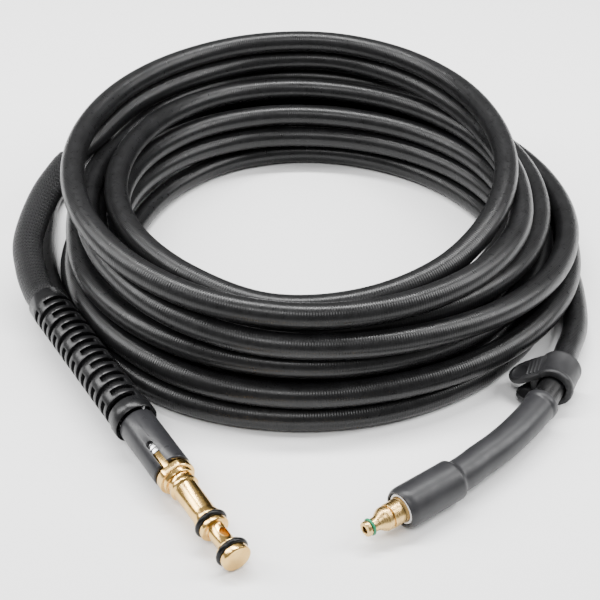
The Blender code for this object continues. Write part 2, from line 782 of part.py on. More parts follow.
def stand_on_origin():
    """Shifts everything so that the origin is the middle of the footprint."""
    bpy.context.view_layer.update()
    graph = bpy.context.evaluated_depsgraph_get()
    corners = []
    for thing in bpy.data.objects:
        if thing.type in {"MESH", "CURVE"} and not thing.hide_render:
            shown = thing.evaluated_get(graph)
            mesh = shown.to_mesh()
            corners += [shown.matrix_world @ vertex.co for vertex in mesh.vertices]
            shown.to_mesh_clear()
    low = Vector(min(corner[i] for corner in corners) for i in range(3))
    high = Vector(max(corner[i] for corner in corners) for i in range(3))
    shift = Vector((-(low.x + high.x) / 2, -(low.y + high.y) / 2, -low.z))
    for thing in bpy.data.objects:
        if thing.parent is None:
            thing.location += shift


def build():
    clear_scene()
    group = collection("pressure_washer_hose")
    cutters = collection("cutters")
    hose_rubber = material("hose rubber", (0.045, 0.045, 0.048), 0.45)
    weave = material("black weave", (0.02, 0.02, 0.02), 0.7)
    black_plastic = material("black plastic", (0.018, 0.018, 0.018), 0.4)
    grey_plastic = material("dark grey plastic", (0.06, 0.06, 0.065), 0.38)
    steel = material("crimped steel", (0.78, 0.78, 0.78), 0.25, 1.0)
    brass = material("turned brass", (0.87, 0.62, 0.28), 0.22, 1.0)
    brushed_brass = material("brushed brass", (0.78, 0.58, 0.30), 0.35, 1.0)
    ring_rubber = material("ring rubber", (0.01, 0.01, 0.01), 0.35)
    green_rubber = material("green rubber", (0.02, 0.32, 0.16), 0.4)
    white_plastic = material("white plastic", (0.85, 0.85, 0.85), 0.35)
    strap_rubber = material("strap rubber", (0.04, 0.04, 0.042), 0.5)

    gun_axis = axis_empty("gun_fitting_axis", group, GUN_START, GUN_HEADING, GUN_DIP)
    machine_axis = axis_empty("machine_fitting_axis", group, MACHINE_NOSE, machine_heading())
    bpy.context.view_layer.update()

    hose_coil(group, hose_rubber)
    mouth = BOOT_LENGTH + FIT_GAP + BARREL_LENGTH
    gun_lead(group, hose_rubber, mouth - NIPPLE_SHANK_LENGTH - FIT_GAP)
    braided_sleeve(group, weave, cutters)
    bend_protector(group, black_plastic, cutters, gun_axis)
    connector_barrel(group, grey_plastic, cutters, gun_axis)
    crimp_ferrule(group, steel, gun_axis)
    gun_nipple(group, brass, cutters, gun_axis)
    gun_rings(group, ring_rubber, gun_axis)

    machine_lead(group, hose_rubber)
    machine_end_sleeve(group, grey_plastic, cutters, machine_axis)
    mouth_ring(group, white_plastic, machine_axis)
    ring_height = quick_plug(group, brushed_brass, machine_axis)
    plug_ring(group, green_rubber, machine_axis, ring_height)
    tie_strap(group, strap_rubber, cutters)
    stand_on_origin()


build()
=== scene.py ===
"""Pressure washer hose: the hose's own turns, its two fittings and its tie strap.

Metres, +Z up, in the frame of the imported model. Routes are written in
millimetres, as the hose was laid out, and LAID_OUT moves them to the frame.
"""

import math
import bpy
import numpy as np
from mathutils import Euler, Matrix, Vector


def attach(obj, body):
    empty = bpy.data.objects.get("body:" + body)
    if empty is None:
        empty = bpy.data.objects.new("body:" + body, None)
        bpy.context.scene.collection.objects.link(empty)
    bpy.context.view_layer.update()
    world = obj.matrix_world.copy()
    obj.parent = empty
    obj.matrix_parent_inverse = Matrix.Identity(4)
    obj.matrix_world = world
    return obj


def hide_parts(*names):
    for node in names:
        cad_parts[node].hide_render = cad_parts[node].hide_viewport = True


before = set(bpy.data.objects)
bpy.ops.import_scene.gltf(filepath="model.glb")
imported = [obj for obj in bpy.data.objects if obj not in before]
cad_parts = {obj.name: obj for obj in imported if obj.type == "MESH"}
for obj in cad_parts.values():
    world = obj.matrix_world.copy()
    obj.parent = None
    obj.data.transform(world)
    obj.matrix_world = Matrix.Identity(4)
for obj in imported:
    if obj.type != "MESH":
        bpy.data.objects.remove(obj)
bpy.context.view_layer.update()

MM = 0.001
LAID_OUT = Vector((-1.124, 10.036, 0.01))

# The camera, at the photograph's angle
CAMERA_TILT = math.radians(36.0)
CAMERA_DISTANCE = 0.66875
CAMERA_LENS = 74.16

# The hose and its two routes, the gun fitting first
HOSE_RADIUS = 6.25
GUN_START = Vector((-129.8, -29.7, 20.0))
GUN_HEADING = math.radians(-57.3)
GUN_DIP = math.radians(3.78)
GUN_ROUTE = (
    (-127.0, 56.3, 54.0),
    (-138.2, 33.9, 45.0),
    (-143.9, 8.7, 34.0),
    (-141.0, -8.0, 26.5),
)
BOOT_LEAD_IN = 10.0
MACHINE_ROUTE = (
    (132.8, -58.0, 9.5),
    (123.9, -79.9, 10.6),
    (113.7, -98.4, 10.4),
    (102.0, -114.0, 10.1),
    (91.3, -125.8, 9.8),
    (80.6, -135.6, 9.6),
    (69.8, -145.4, 9.5),
    (42.6, -166.0, 9.5),
)
MACHINE_HEADING = math.atan2(-0.60022, -0.799835)
STRAP_AT = Vector((124.249, -78.541, 10.427))
STRAP_HEADING = math.atan2(-0.90454, -0.426388)

# The coil's turns by marks at the left, back, right and front of each, the gun end first
TURNS = (
    ((-118.5, 72.0, 56.0), (0.0, 173.3, 60.5), (116.0, 20.0, 56.0), (0.0, -90.5, 56.5)),
    ((-120.0, 37.0, 69.0), (-3.0, 172.5, 73.0), (109.5, 40.0, 68.5), (0.0, -76.5, 47.0)),
    ((-99.0, 42.0, 54.0), (0.0, 161.5, 46.0), (118.0, 45.0, 43.5), (0.0, -78.0, 33.0)),
    ((-111.0, 44.0, 38.0), (0.0, 163.5, 19.5), (132.5, 38.0, 23.0), (0.0, -95.0, 31.2)),
    ((-122.0, 50.0, 31.2), (0.0, 176.5, 34.0), (145.5, 38.0, 31.5), (0.0, -96.0, 43.8)),
    ((-115.0, 40.0, 51.0), (0.0, 175.0, 47.5), (130.0, 46.0, 40.0), (0.0, -83.0, 43.0)),
    ((-101.0, 43.0, 39.0), (0.0, 151.0, 33.0), (119.0, 42.0, 31.0), (0.0, -78.0, 20.0)),
    ((-102.0, 41.0, 24.0), (0.0, 147.5, 20.0), (121.0, 35.0, 18.7), (0.0, -78.0, 6.3)),
    ((-98.0, 36.0, 6.3), (0.0, 152.0, 6.3), (122.0, 35.0, 6.3), (0.0, -90.5, 6.3)),
    ((-128.0, 32.0, 6.3), (0.0, 177.0, 20.0), (147.0, 30.0, 18.8), (0.0, -101.8, 18.8)),
    ((-122.0, 32.0, 18.7), (0.0, 165.0, 6.3), (134.5, 30.0, 6.3), (0.0, -103.0, 6.3)),
    ((-149.5, 92.0, 6.3), (0.0, 178.5, 6.3), (147.0, -2.0, 6.3)),
)
# The first turn from its left mark to its back, with a mark before and one after
FIRST_BEND = (
    (-127.0, 56.3, 54.0),
    (-118.5, 72.0, 56.0),
    (-104.3, 100.4, 58.0),
    (-83.7, 129.3, 59.3),
    (-61.0, 150.3, 60.0),
    (-30.0, 166.8, 60.5),
    (0.0, 173.3, 60.5),
    (28.0, 169.0, 60.2),
)
# The end of the coil, where the last turn leaves the floor for the machine fitting
COIL_EXIT = ((143.3, -27.1, 7.0), (137.2, -44.8, 8.2))
# Marks of the second turn at the back left, counted from the coil's start
SECOND_TURN_MARKS = {
    18: (-99.2, 110.8, 72.6),
    19: (-70.0, 145.4, 72.8),
    20: (-30.0, 167.4, 73.0),
}
COIL_SPACING = 46.0

# How the turns are drawn from their marks and pushed apart until they lie on each other
ARC_STEPS = 12
MARK_STEPS = 24
LINE_STEP = 5.0
PUSHES = 200
PUSH_SHARE = 0.8
SAME_STRETCH = 60.0
HELD_STEPS = 12
EVEN_REACH = 12
EVEN_WIDTH = 4.5
STRAIGHTEN_SHARE = 0.4
PAIR_REACH = 36.0
PAIR_REFRESH = 5
LAST_FREE_PUSHES = 10
END_POINTS = 120
HOSE_ROOM = 6.3
LOWEST_MIDDLE = 6.27
BOOT_ROOM = 10.25
BOOT_STRETCH = 128.0
BRAID_ROOM = 8.05
BRAID_STRETCH = 223.0
SLEEVE_ROOM = 9.5
SLEEVE_STRETCH = 75.0

# Places along the gun fitting's axis, from the bend protector's start
BOOT_END = 101.5
BARREL_START = 101.8
BARREL_END = 136.3
HOSE_GUN_END = 127.5
LEAD_STEP = 25.0

# The gap left between two fitted parts, and the braid's outer radius
FIT_GAP = 0.3
BRAID_RADIUS = 7.95

# The gun nipple: how deep it sits in the barrel, and its parts' lengths from the barrel's end
NIPPLE_DEPTH = 8.5
NIPPLE_LENGTHS = (1.4, 3.8, 2.2, 2.4, 2.2, 19.5, 1.4, 3.2, 2.4, 11.4, 0.7, 3.2, 3.0)

# The machine fitting, with its lengths and depths taken from the bend sleeve's mouth
HOSE_MACHINE_END = 12.3
SLEEVE_LENGTH = 100.15
SLEEVE_RADIUS = 7.6
SLEEVE_CUFF_RADIUS = 8.2
SLEEVE_COLLAR_RADIUS = 9.4
SLEEVE_COLLAR_LENGTH = 30.0
PLUG_DEPTH = 12.0
PLUG_BORE_RADIUS = 1.7

# The strap's leaves: how wide one is at each share of its length
LEAF_SHARES = (
    (0.0, 0.96),
    (0.3, 1.0),
    (0.55, 0.98),
    (0.72, 0.9),
    (0.85, 0.72),
    (0.94, 0.48),
    (0.985, 0.22),
    (1.0, 0.0),
)


# Objects: picking, shaping and placing them

def deselect():
    if bpy.context.object and bpy.context.object.mode != "OBJECT":
        bpy.ops.object.mode_set(mode="OBJECT")
    bpy.ops.object.select_all(action="DESELECT")


def pick(thing):
    deselect()
    thing.select_set(True)
    bpy.context.view_layer.objects.active = thing


def named(thing, name):
    thing.name = name
    thing.data.name = name
    return thing


def edit(thing):
    pick(thing)
    bpy.ops.object.mode_set(mode="EDIT")
    bpy.ops.mesh.select_mode(type="VERT")


def leave():
    bpy.ops.object.mode_set(mode="OBJECT")


def choose_points(thing, test):
    """Selects the points that pass the test, in edit mode."""
    bpy.ops.mesh.select_all(action="DESELECT")
    leave()
    for point in thing.data.vertices:
        point.select = test(point.co)
    bpy.ops.object.mode_set(mode="EDIT")


def apply_modifier(thing, kind, **values):
    pick(thing)
    modifier = thing.modifiers.new(kind.title(), kind)
    for key, value in values.items():
        setattr(modifier, key, value)
    bpy.ops.object.modifier_apply(modifier=modifier.name)


def soften(thing, width, segments=2, angle=32.0):
    """Rounds the edges a little, as turning and moulding leave them."""
    apply_modifier(
        thing,
        "BEVEL",
        width=width * MM,
        segments=segments,
        limit_method="ANGLE",
        angle_limit=math.radians(angle),
        use_clamp_overlap=True,
    )


def smooth(thing, angle=40.0):
    pick(thing)
    bpy.ops.object.shade_smooth_by_angle(angle=math.radians(angle))


def settle(thing, place):
    """Moves the finished mesh to its place; the object stays at the origin."""
    pick(thing)
    thing.matrix_world = place
    bpy.ops.object.transform_apply(location=True, rotation=True, scale=True)


def dress(thing, material, slot, *nodes):
    """Gives a piece its material, parents it to the root and hides the nodes that it stands for; the slot
    is not used.
    """
    thing.data.materials.clear()
    thing.data.materials.append(material)
    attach(thing, "root")
    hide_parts(*nodes)
    return thing


def axis_place(origin, heading, dip=0.0):
    """A frame whose Z axis runs along a fitting; origin in laid-out millimetres."""
    way = Euler((0.0, math.pi / 2 + dip, heading)).to_matrix().to_4x4()
    return Matrix.Translation((origin + LAID_OUT) * MM) @ way


GUN_PLACE = axis_place(GUN_START, GUN_HEADING, GUN_DIP)
MACHINE_PLACE = axis_place(Vector(MACHINE_ROUTE[-1]), MACHINE_HEADING)
STRAP_PLACE = axis_place(STRAP_AT, STRAP_HEADING)


def turn(name, profile, around=72):
    """A circle drawn out from mark to mark of (radius, height) in millimetres.

    A profile that ends where it starts is a ring; one that starts and ends
    on the axis is solid.
    """
    deselect()
    solid = profile[0][0] == 0.0
    tiny = 0.01
    marks = [(max(r, tiny) * MM, h * MM) for r, h in profile]
    start = (0.0, 0.0, marks[0][1])
    bpy.ops.mesh.primitive_circle_add(vertices=around, radius=marks[0][0], location=start)
    thing = named(bpy.context.object, name)
    bpy.ops.object.transform_apply(location=True, rotation=True, scale=True)
    edit(thing)
    bpy.ops.mesh.select_all(action="SELECT")
    for (r0, h0), (r1, h1) in zip(marks, marks[1:]):
        bpy.ops.mesh.extrude_region_move(TRANSFORM_OT_translate={"value": (0.0, 0.0, h1 - h0)})
        if r1 != r0:
            bpy.ops.transform.resize(value=(r1 / r0, r1 / r0, 1.0), center_override=(0.0, 0.0, h1))
    bpy.ops.mesh.select_all(action="SELECT")
    merge = 2 * tiny if solid else 0.001
    bpy.ops.mesh.remove_doubles(threshold=merge * MM)
    bpy.ops.mesh.normals_make_consistent(inside=False)
    leave()
    return thing


def cut(thing, tool, operation="DIFFERENCE", solver="EXACT"):
    """Cuts with the tool, which is then thrown away."""
    apply_modifier(thing, "BOOLEAN", operation=operation, solver=solver, object=tool)
    bpy.data.objects.remove(tool, do_unlink=True)


def block(name, size, place):
    """A cutting block of a size in millimetres at a place."""
    deselect()
    bpy.ops.mesh.primitive_cube_add(size=1.0)
    thing = named(bpy.context.object, name)
    thing.matrix_world = place @ Matrix.Diagonal((*(v * MM for v in size), 1.0))
    bpy.ops.object.transform_apply(location=True, rotation=True, scale=True)
    return thing


# Routes: the lines that the hose follows, in laid-out millimetres

def gun_point(distance):
    """A place on the gun fitting's axis."""
    level = Vector((math.cos(GUN_HEADING), math.sin(GUN_HEADING), 0.0)) * math.cos(GUN_DIP)
    return GUN_START + (level - Vector((0.0, 0.0, math.sin(GUN_DIP)))) * distance


def between(a, b, c, d, t):
    """A smooth way from b to c, which bends as the neighbours a and d ask."""
    return (2 * b + (c - a) * t + (2 * a - 5 * b + 4 * c - d) * t**2 + (3 * b - a - 3 * c + d) * t**3) / 2


def through(marks, steps=MARK_STEPS):
    """A dense smooth line through the marks."""
    knots = [Vector(mark) for mark in marks]
    chain = [knots[0] * 2 - knots[1], *knots, knots[-1] * 2 - knots[-2]]
    line = []
    for i in range(1, len(chain) - 2):
        a, b, c, d = chain[i - 1 : i + 3]
        for step in range(steps):
            t = step / steps
            line.append(between(a, b, c, d, t))
    line.append(knots[-1])
    return line


def spans(line):
    """How far along the line each of its points lies."""
    total = [0.0]
    for a, b in zip(line, line[1:]):
        total.append(total[-1] + (b - a).length)
    return total


def even(line, spacing):
    """The same line with its points evenly spaced."""
    total = spans(line)
    count = max(2, round(total[-1] / spacing))
    points = []
    at = 0
    for i in range(count + 1):
        wanted = total[-1] * i / count
        while at < len(total) - 2 and total[at + 1] < wanted:
            at += 1
        share = (wanted - total[at]) / (total[at + 1] - total[at])
        points.append(line[at].lerp(line[at + 1], min(1.0, share)))
    return points


def piece_of(line, start, end, spacing):
    """The stretch of a line between two distances along it."""
    total = spans(line)
    inner = [point for point, along in zip(line, total) if start < along < end]
    ends = at_distance(line, total, start), at_distance(line, total, end)
    return even([ends[0], *inner, ends[1]], spacing)


def at_distance(line, total, wanted):
    """The place on a line at a distance along it."""
    for i in range(1, len(line)):
        if total[i] >= wanted:
            share = (wanted - total[i - 1]) / (total[i] - total[i - 1])
            return line[i - 1].lerp(line[i], share)
    return line[-1].copy()


def first_bend():
    """The first turn up to the back, by its own closer marks."""
    line = []
    for i in range(1, len(FIRST_BEND) - 2):
        a, b, c, d = (Vector(mark) for mark in FIRST_BEND[i - 1 : i + 3])
        steps = 2 if i < 3 else 3
        line += [between(a, b, c, d, step / steps) for step in range(steps)]
    return line


def marked_turns():
    """The turns as quarter ellipses from mark to mark, before they are pushed apart."""
    marks = [Vector(mark) for row in TURNS for mark in row]
    line = first_bend()
    for i in range(1, len(marks) - 1):
        a, b = marks[i], marks[i + 1]
        before, after = marks[i - 1].z, marks[min(i + 2, len(marks) - 1)].z
        for step in range(ARC_STEPS):
            t = step / ARC_STEPS
            rise, fall = math.sin(t * math.pi / 2), math.cos(t * math.pi / 2)
            if i % 2:
                x, y = a.x + (b.x - a.x) * rise, b.y + (a.y - b.y) * fall
            else:
                x, y = b.x + (a.x - b.x) * fall, a.y + (b.y - a.y) * rise
            line.append(Vector((x, y, between(before, a.z, b.z, after, t))))
    line.append(marks[-1])
    return line


def loose_line():
    """The whole hose by its marks alone, in even steps."""
    turns = marked_turns()
    straight = [gun_point(distance) for distance in (128.0, 100.0, 60.0, 20.0, 0.0, -BOOT_LEAD_IN)]
    gun_lead = through([*straight, *reversed(GUN_ROUTE), turns[0]])[:-MARK_STEPS]
    rest = through([*turns[::3], *COIL_EXIT, *MACHINE_ROUTE], steps=8)
    return even([*gun_lead, *rest], LINE_STEP)


def nearest(points, place):
    """The number of the point that lies nearest to a place."""
    return int(np.argmin(np.linalg.norm(points - np.array(place), axis=1)))


def room(along):
    """The radius that each point of the hose needs, with what is fitted over it."""
    needed = np.full(len(along), HOSE_ROOM)
    needed[along < BRAID_STRETCH] = BRAID_ROOM
    needed[along < BOOT_STRETCH] = BOOT_ROOM
    needed[along[-1] - along < SLEEVE_STRETCH] = SLEEVE_ROOM
    return needed


def freedom(count, start, end):
    """How freely each point may move: the coil's do, and its ends by degrees."""
    free = np.zeros(count)
    free[start + 2 : end - 2] = 1.0
    for i in range(HELD_STEPS):
        share = (i + 1) / HELD_STEPS
        free[start + 2 + i] = min(free[start + 2 + i], share)
        free[end - 3 - i] = min(free[end - 3 - i], share)
    return free[:, None]


def close_pairs(points, along, reach):
    """Pairs of points that lie near each other but not on the same stretch of hose."""
    squares = (points**2).sum(1)
    apart = squares[:, None] + squares[None, :] - 2 * points @ points.T
    apart_along = np.abs(along[:, None] - along[None, :])
    return np.nonzero(np.triu((apart < reach**2) & (apart_along > SAME_STRETCH)))


def evened(moves):
    """Each point's move, evened out with those of its neighbours."""
    offsets = np.arange(-EVEN_REACH, EVEN_REACH + 1)
    weights = np.exp(-0.5 * (offsets / EVEN_WIDTH) ** 2)
    weights /= weights.sum()
    padded = [np.pad(column, EVEN_REACH, mode="edge") for column in moves.T]
    return np.stack([np.convolve(column, weights, mode="valid") for column in padded], 1)


def pushes(points, pairs, needed):
    """The mean move that takes each point off the stretches it cuts."""
    first, second = pairs
    way = points[first] - points[second]
    distance = np.linalg.norm(way, axis=1) + 1e-9
    overlap = np.maximum(needed[first] + needed[second] - distance, 0.0)
    move = way * (overlap / distance)[:, None]
    count = len(points)
    hit = (overlap > 0).astype(float)
    touched = np.bincount(first, hit, count) + np.bincount(second, hit, count)
    total = [np.bincount(first, column, count) - np.bincount(second, column, count) for column in move.T]
    return np.stack(total, 1) / np.maximum(touched, 1.0)[:, None] * PUSH_SHARE


def straightened(points):
    """The slight move that takes a wave out of the line."""
    change = np.zeros_like(points)
    change[2:-2] = (-points[:-4] + 4 * points[1:-3] + 4 * points[3:-1] - points[4:]) / 6 - points[2:-2]
    return STRAIGHTEN_SHARE * change


def coil_marks():
    """The coil's turns, pushed apart where the marks alone let them cross."""
    line = loose_line()
    along = np.linspace(0.0, spans(line)[-1], len(line))
    points = np.array([tuple(point) for point in line])
    start = nearest(points[:END_POINTS], TURNS[0][0])
    end = len(points) - END_POINTS + nearest(points[-END_POINTS:], COIL_EXIT[0])
    needed = room(along)
    free = freedom(len(points), start, end)
    for number in range(PUSHES):
        if number % PAIR_REFRESH == 0:
            pairs = close_pairs(points, along, PAIR_REACH)
        points += evened(pushes(points, pairs, needed)) * free
        raised = np.maximum(points[:, 2], LOWEST_MIDDLE)
        points[:, 2] = np.where(free[:, 0] > 0, raised, points[:, 2])
        if number % PAIR_REFRESH == PAIR_REFRESH - 1 and number < PUSHES - LAST_FREE_PUSHES:
            points += straightened(points) * free
    stretches = round((along[end] - along[start]) / COIL_SPACING)
    places = np.linspace(along[start], along[end], stretches + 1)
    rows = zip(*(np.interp(places, along, column) for column in points.T))
    marks = [tuple(round(float(value), 1) for value in row) for row in rows]
    for i, mark in SECOND_TURN_MARKS.items():
        marks[i] = mark
    return marks


def framed(points):
    """Laid-out millimetres as metres in the frame."""
    return [(point + LAID_OUT) * MM for point in points]


def tube(name, points, radius, around=16, radii=None, caps=True):
    """A round tube along points in the frame's metres, as a mesh with its own UV map.

    U runs along the tube and V round it, from 0 to 1.
    """
    deselect()
    curve = bpy.data.curves.new(name, "CURVE")
    curve.dimensions = "3D"
    curve.twist_mode = "MINIMUM"
    curve.bevel_depth = radius * MM
    curve.bevel_resolution = around // 2 - 2
    curve.use_fill_caps = caps
    spline = curve.splines.new("POLY")
    spline.points.add(len(points) - 1)
    for i, point in enumerate(points):
        spline.points[i].co = (*point, 1.0)
        spline.points[i].radius = radii[i] / radius if radii else 1.0
    thing = bpy.data.objects.new(name, curve)
    bpy.context.scene.collection.objects.link(thing)
    pick(thing)
    bpy.ops.object.convert(target="MESH")
    thing = named(bpy.context.object, name)
    thing.data.shade_smooth()
    return thing


# Materials

class Finish:
    """One node material, with short calls for the nodes it uses."""

    def __init__(self, name, colour, roughness, metallic=0.0, specular=0.5):
        self.material = bpy.data.materials.new(name)
        self.material.use_nodes = True
        self.nodes = self.material.node_tree.nodes
        self.links = self.material.node_tree.links
        self.shader = self.nodes["Principled BSDF"]
        self.shader.inputs["Base Color"].default_value = (*colour, 1.0)
        self.shader.inputs["Roughness"].default_value = roughness
        self.shader.inputs["Metallic"].default_value = metallic
        self.shader.inputs["Specular IOR Level"].default_value = specular
        self.spot = self.nodes.new("ShaderNodeTexCoord")

    def socket(self, kind="Object"):
        return self.spot.outputs[kind]

    def node(self, kind, inputs=(), **values):
        node = self.nodes.new(kind)
        for key, value in values.items():
            setattr(node, key, value)
        for i, value in enumerate(inputs):
            if hasattr(value, "is_output"):
                self.links.new(value, node.inputs[i])
            else:
                node.inputs[i].default_value = value
        return node

    def maths(self, operation, first, second=0.0):
        return self.node("ShaderNodeMath", (first, second), operation=operation).outputs[0]

    def noise(self, scale, detail=3.0):
        node = self.nodes.new("ShaderNodeTexNoise")
        self.links.new(self.socket(), node.inputs["Vector"])
        node.inputs["Scale"].default_value = scale
        node.inputs["Detail"].default_value = detail
        return node.outputs["Fac"]

    def stretch(self, value, low, high, start=0.3, end=0.7):
        node = self.nodes.new("ShaderNodeMapRange")
        self.links.new(value, node.inputs["Value"])
        node.inputs["From Min"].default_value = start
        node.inputs["From Max"].default_value = end
        node.inputs["To Min"].default_value = low
        node.inputs["To Max"].default_value = high
        return node.outputs["Result"]

    def colours(self, value, first, second):
        node = self.nodes.new("ShaderNodeMix")
        node.data_type = "RGBA"
        self.links.new(value, node.inputs[0])
        node.inputs[6].default_value = (*first, 1.0)
        node.inputs[7].default_value = (*second, 1.0)
        self.links.new(node.outputs[2], self.shader.inputs["Base Color"])

    def rough(self, value):
        self.links.new(value, self.shader.inputs["Roughness"])

    def relief(self, height, depth, strength=1.0, below=None):
        """A bump of a depth in millimetres, over another where one is given."""
        node = self.nodes.new("ShaderNodeBump")
        node.inputs["Strength"].default_value = strength
        node.inputs["Distance"].default_value = depth * MM
        self.links.new(height, node.inputs["Height"])
        if below:
            self.links.new(below, node.inputs["Normal"])
        self.links.new(node.outputs["Normal"], self.shader.inputs["Normal"])
        return node.outputs["Normal"]

    def along(self, direction):
        """How far a point lies along a direction, in metres."""
        node = self.nodes.new("ShaderNodeVectorMath")
        node.operation = "DOT_PRODUCT"
        self.links.new(self.socket(), node.inputs[0])
        node.inputs[1].default_value = direction
        return node.outputs["Value"]

    def lines(self, value, scale, detail=2.0):
        """Fine lines that run round a turned piece."""
        node = self.nodes.new("ShaderNodeTexNoise")
        node.noise_dimensions = "1D"
        self.links.new(value, node.inputs["W"])
        node.inputs["Scale"].default_value = scale
        node.inputs["Detail"].default_value = detail
        return node.outputs["Fac"]


def hose_rubber(length):
    """Satin black rubber with the fine cross ribbing that the cover wrap leaves."""
    f = Finish("hose_rubber_ribbed", (0.006, 0.006, 0.0065), 0.34, specular=0.3)
    uv = f.node("ShaderNodeSeparateXYZ", (f.socket("UV"),))
    along = uv.outputs["X"]
    rib_pitch = 1.25
    ribs = f.maths("SINE", f.maths("MULTIPLY", along, 2 * math.pi * length / rib_pitch))
    mottle = f.stretch(f.noise(90.0, 4.0), 0.0, 1.0)
    f.colours(mottle, (0.004, 0.004, 0.0042), (0.008, 0.008, 0.0085))
    f.rough(f.stretch(f.noise(420.0, 3.0), 0.26, 0.38))
    height = f.maths("MULTIPLY", ribs, f.stretch(f.noise(60.0, 3.0), 0.5, 1.0))
    first = f.relief(height, 0.035)
    f.relief(f.noise(1500.0, 3.0), 0.03, 0.35, first)
    return f.material


def black_weave(length):
    """A tight braid: two sets of strands that pass over and under each other."""
    f = Finish("black_braid", (0.007, 0.007, 0.0075), 0.5, specular=0.3)
    uv = f.node("ShaderNodeSeparateXYZ", (f.socket("UV"),))
    along, around = uv.outputs["X"], uv.outputs["Y"]
    strands = 30.0
    pitch = 2 * math.pi * BRAID_RADIUS / strands
    lengthwise = f.maths("MULTIPLY", along, length / pitch / 1.25)
    crosswise = f.maths("MULTIPLY", around, strands)
    left = f.maths("ADD", crosswise, lengthwise)
    right = f.maths("SUBTRACT", crosswise, lengthwise)
    over = f.maths("ADD", f.maths("FLOOR", left), f.maths("FLOOR", right))
    over = f.maths("MODULO", f.maths("ADD", over, 4000.0), 2.0)
    rise_left = f.maths("ABSOLUTE", f.maths("SINE", f.maths("MULTIPLY", left, math.pi)))
    rise_right = f.maths("ABSOLUTE", f.maths("SINE", f.maths("MULTIPLY", right, math.pi)))
    chosen = f.node("ShaderNodeMix", (over,), data_type="FLOAT")
    f.links.new(rise_left, chosen.inputs[2])
    f.links.new(rise_right, chosen.inputs[3])
    height = chosen.outputs[0]
    threads = f.maths("SINE", f.maths("MULTIPLY", left, 2 * math.pi * 4))
    threads_other = f.maths("SINE", f.maths("MULTIPLY", right, 2 * math.pi * 4))
    thread = f.node("ShaderNodeMix", (over,), data_type="FLOAT")
    f.links.new(threads_other, thread.inputs[2])
    f.links.new(threads, thread.inputs[3])
    # Painted shade: the braid's colour darkens in the weave's dips, where the strands pass under, and is
    # lighter on their crowns
    painted_dip_shade = f.stretch(height, 0.0, 1.0, 0.1, 0.95)
    f.colours(painted_dip_shade, (0.001, 0.001, 0.001), (0.016, 0.016, 0.017))
    f.rough(f.stretch(f.noise(900.0), 0.3, 0.5))
    first = f.relief(height, 0.3)
    f.relief(thread.outputs[0], 0.06, 0.8, first)
    return f.material


def moulded(name, colour, lighter, low, high, grain=0.02, grain_scale=2600.0, specular=0.3):
    """Moulded plastic or rubber: an even grain, and handling marks in its gloss."""
    f = Finish(name, colour, (low + high) / 2, specular=specular)
    f.colours(f.stretch(f.noise(70.0, 4.0), 0.0, 1.0), colour, lighter)
    f.rough(f.stretch(f.noise(240.0, 5.0), low, high))
    f.relief(f.noise(grain_scale, 2.0), grain, 0.7)
    return f.material


def turned_metal(name, colour, deeper, low, high, direction, scale=9000.0, depth=0.012):
    """Turned metal: tool lines round the axis, and a little tarnish."""
    f = Finish(name, colour, (low + high) / 2, metallic=1.0)
    place = f.along(direction)
    tool_lines = f.lines(place, scale)
    f.colours(f.stretch(f.noise(190.0, 5.0), 0.0, 1.0), colour, deeper)
    f.rough(f.stretch(f.lines(place, scale / 4), low, high))
    f.relief(tool_lines, depth, 0.8)
    return f.material


# Camera

def camera():
    data = bpy.data.cameras.new("camera")
    data.lens = CAMERA_LENS
    data.sensor_width = 36.0
    thing = bpy.data.objects.new("camera", data)
    bpy.context.scene.collection.objects.link(thing)
    aim = LAID_OUT * MM
    back = Vector((0.0, -math.cos(CAMERA_TILT), math.sin(CAMERA_TILT)))
    thing.location = aim + back * CAMERA_DISTANCE
    thing.rotation_euler = (math.pi / 2 - CAMERA_TILT, 0.0, 0.0)
    bpy.context.scene.camera = thing


# Hose

def hose_line(turns):
    """The middle of the whole hose, from inside the gun fitting to inside the plug."""
    straight = [gun_point(HOSE_GUN_END - LEAD_STEP * i) for i in range(5)] + [gun_point(0.0)]
    gun_lead = [gun_point(-BOOT_LEAD_IN), *reversed(GUN_ROUTE)]
    return through([*straight, *gun_lead, *turns, *MACHINE_ROUTE], steps=16)


def hose(turns):
    """The whole hose in one tube, with its path and its length in millimetres."""
    line = hose_line(turns)
    total = spans(line)[-1]
    line = piece_of(line, 0.0, total - HOSE_MACHINE_END, 4.0)
    points = framed(line)
    length = spans(line)[-1]
    thing = tube("hose", points, HOSE_RADIUS, 20)
    nodes = ("hose_coil", "hose_lead_gun_end", "hose_lead_machine_end")
    dress(thing, hose_rubber(length), "hose_rubber", *nodes)
    return thing, points, length


# Gun fitting

def braid():
    """The woven sleeve, drawn in where it starts and open at both ends."""
    inside_boot = [gun_point(distance) for distance in (-BOOT_LEAD_IN, 0.0, 30.0, 60.0, 88.0)]
    line = even(through([*GUN_ROUTE, *inside_boot]), 1.6)
    length = spans(line)[-1]
    drawn_in = 0.6
    radii = [BRAID_RADIUS - drawn_in * max(0.0, 1.0 - i / 3) for i in range(len(line))]
    thing = tube("braid", framed(line), BRAID_RADIUS, 32, radii=radii, caps=False)
    apply_modifier(thing, "SOLIDIFY", thickness=1.0 * MM, offset=-1.0, use_even_offset=True)
    return dress(thing, black_weave(length), "black_weave", "braided_sleeve")


